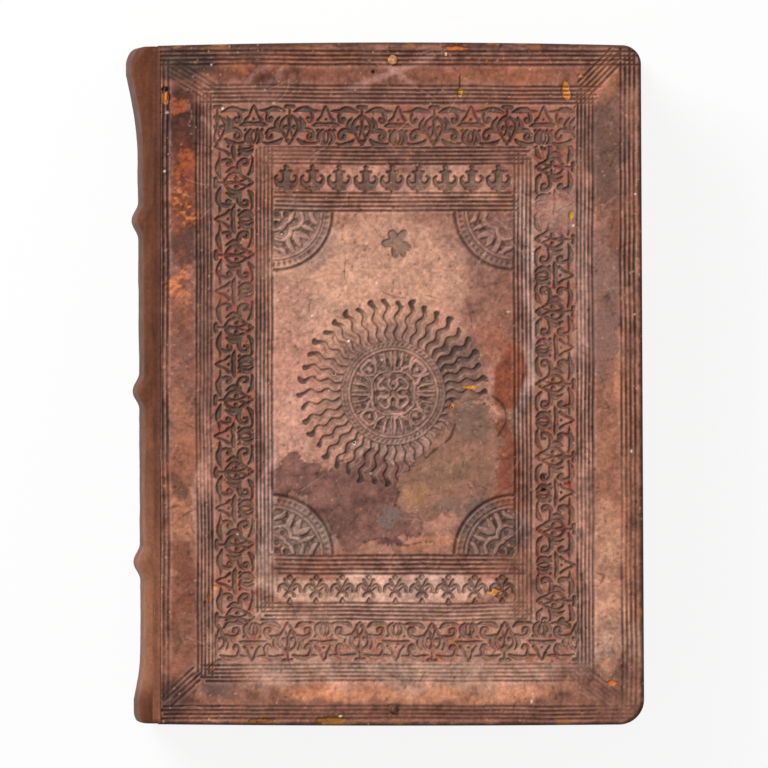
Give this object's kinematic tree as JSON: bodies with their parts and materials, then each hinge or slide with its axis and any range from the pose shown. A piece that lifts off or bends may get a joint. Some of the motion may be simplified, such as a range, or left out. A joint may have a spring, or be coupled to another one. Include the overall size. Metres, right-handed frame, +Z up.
{
  "type": "antique leather-bound book",
  "caption": "Old book in blind-tooled brown leather over boards, with raised bands on the spine, lying closed. Both covers open about their joints.",
  "frame": {"origin": "middle of the space the closed book takes up, on the surface its back cover lies on", "axes": "+X from the spine to the fore-edge, +Y from the tail to the head, +Z up out of the front cover"},
  "size_m": [0.1826, 0.24, 0.0553],
  "materials": {
    "tooled_leather": "worn blind-tooled calf, pinkish tan with dark recesses",
    "spine_leather": "smooth handled leather",
    "board_wood": "bare quartered wood",
    "pasted_paper": "aged laid paper",
    "leaves": "edges of aged leaves",
    "spine_paper": "glued lining",
    "sewing_cord": "hemp cord",
    "endband_thread": "waxed thread over a core",
    "tie_thong": "dry tawed thong"
  },
  "bodies": {
    "text_block": {"text_block": "leaves", "spine_leather": "spine_leather", "sewing_support_head": "sewing_cord", "sewing_support_middle": "sewing_cord", "sewing_support_tail": "sewing_cord", "spine_lining_1": "spine_paper", "spine_lining_2": "spine_paper", "spine_lining_3": "spine_paper", "spine_lining_4": "spine_paper", "head_endband": "endband_thread", "tail_endband": "endband_thread"},
    "front_cover": {"front_board": "board_wood", "front_cover_leather": "tooled_leather", "front_pastedown": "pasted_paper", "front_slip_head": "sewing_cord", "front_slip_middle": "sewing_cord", "front_slip_tail": "sewing_cord", "tie_stub_head": "tie_thong", "tie_stub_tail": "tie_thong"},
    "back_cover": {"back_board": "board_wood", "back_cover_leather": "tooled_leather", "back_pastedown": "pasted_paper", "back_slip_head": "sewing_cord", "back_slip_middle": "sewing_cord", "back_slip_tail": "sewing_cord"}
  },
  "joints": [
    {"name": "front_joint", "type": "hinge", "parent": "text_block", "child": "front_cover", "pos_m": [-0.07975, 0, 0.0544], "axis": [0, -1, 0], "range_deg": [0, 180]},
    {"name": "back_joint", "type": "hinge", "parent": "text_block", "child": "back_cover", "pos_m": [-0.07975, 0, 0], "axis": [0, 1, 0], "range_deg": [0, 180]}
  ]
}
